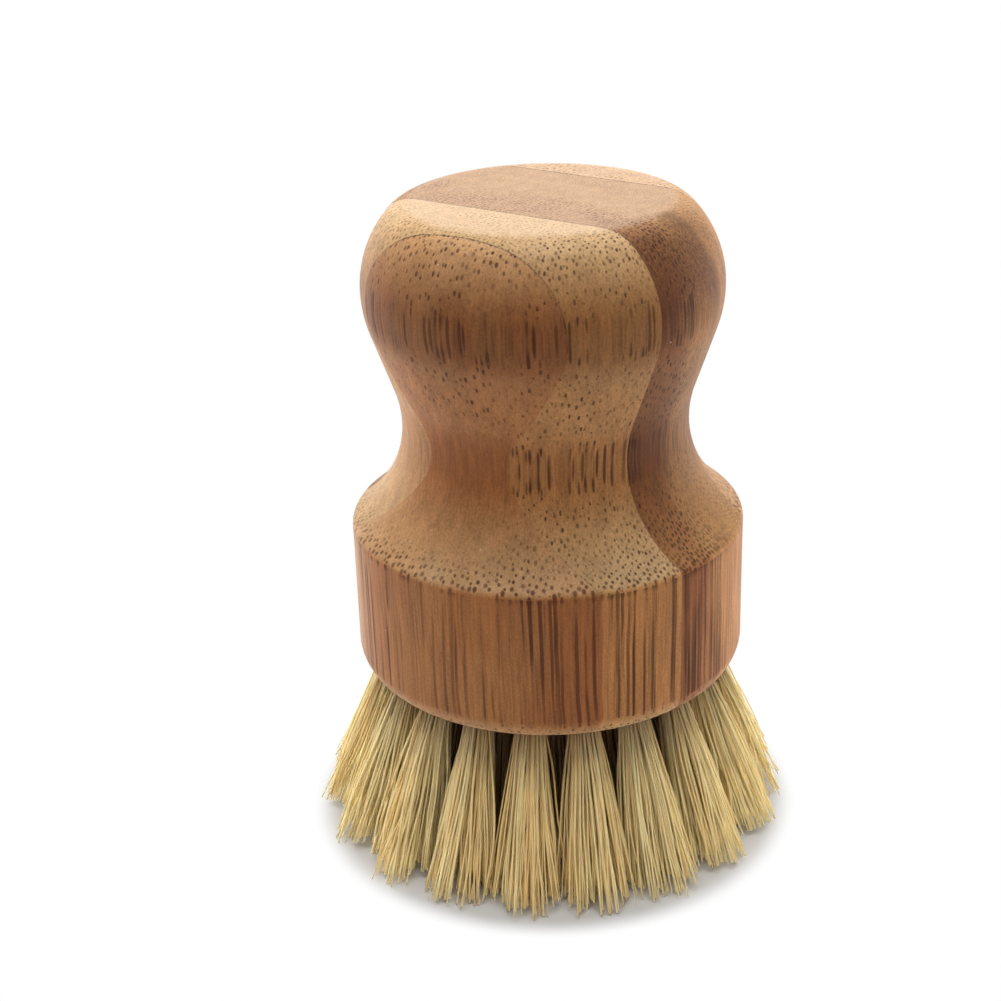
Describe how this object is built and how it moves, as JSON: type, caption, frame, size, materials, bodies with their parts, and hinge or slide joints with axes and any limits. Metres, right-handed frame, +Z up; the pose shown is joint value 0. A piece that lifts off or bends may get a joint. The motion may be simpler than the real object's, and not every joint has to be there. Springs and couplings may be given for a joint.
{
  "type": "palm brush",
  "caption": "Small upright hand brush: turned laminated bamboo knob handle with a flat underside set with fanned plant-fibre tufts.",
  "frame": {"origin": "centre of the flat that the bristle tips stand on", "axes": "+Z up, from the bristle tips to the top of the knob; -Y towards the viewer of the picture"},
  "size_m": [0.0635, 0.0633, 0.0855],
  "materials": {
    "bamboo": "satin oiled bamboo",
    "plant_fibre": "dry straight plant fibre",
    "anchor_wire": "bare flat wire"
  },
  "bodies": {
    "root": {"strip_front": "bamboo", "strip_light": "bamboo", "strip_dark": "bamboo", "strip_back": "bamboo", "anchors": "anchor_wire", "tuft_outer_01": "plant_fibre", "tuft_outer_02": "plant_fibre", "tuft_outer_03": "plant_fibre", "tuft_outer_04": "plant_fibre", "tuft_outer_05": "plant_fibre", "tuft_outer_06": "plant_fibre", "tuft_outer_07": "plant_fibre", "tuft_outer_08": "plant_fibre", "tuft_outer_09": "plant_fibre", "tuft_outer_10": "plant_fibre", "tuft_outer_11": "plant_fibre", "tuft_outer_12": "plant_fibre", "tuft_outer_13": "plant_fibre", "tuft_outer_14": "plant_fibre", "tuft_outer_15": "plant_fibre", "tuft_outer_16": "plant_fibre", "tuft_outer_17": "plant_fibre", "tuft_outer_18": "plant_fibre", "tuft_outer_19": "plant_fibre", "tuft_middle_01": "plant_fibre", "tuft_middle_02": "plant_fibre", "tuft_middle_03": "plant_fibre", "tuft_middle_04": "plant_fibre", "tuft_middle_05": "plant_fibre", "tuft_middle_06": "plant_fibre", "tuft_middle_07": "plant_fibre", "tuft_middle_08": "plant_fibre", "tuft_middle_09": "plant_fibre", "tuft_middle_10": "plant_fibre", "tuft_middle_11": "plant_fibre", "tuft_middle_12": "plant_fibre", "tuft_middle_13": "plant_fibre", "tuft_inner_01": "plant_fibre", "tuft_inner_02": "plant_fibre", "tuft_inner_03": "plant_fibre", "tuft_inner_04": "plant_fibre", "tuft_inner_05": "plant_fibre", "tuft_inner_06": "plant_fibre", "tuft_inner_07": "plant_fibre", "tuft_centre": "plant_fibre"}
  },
  "joints": []
}
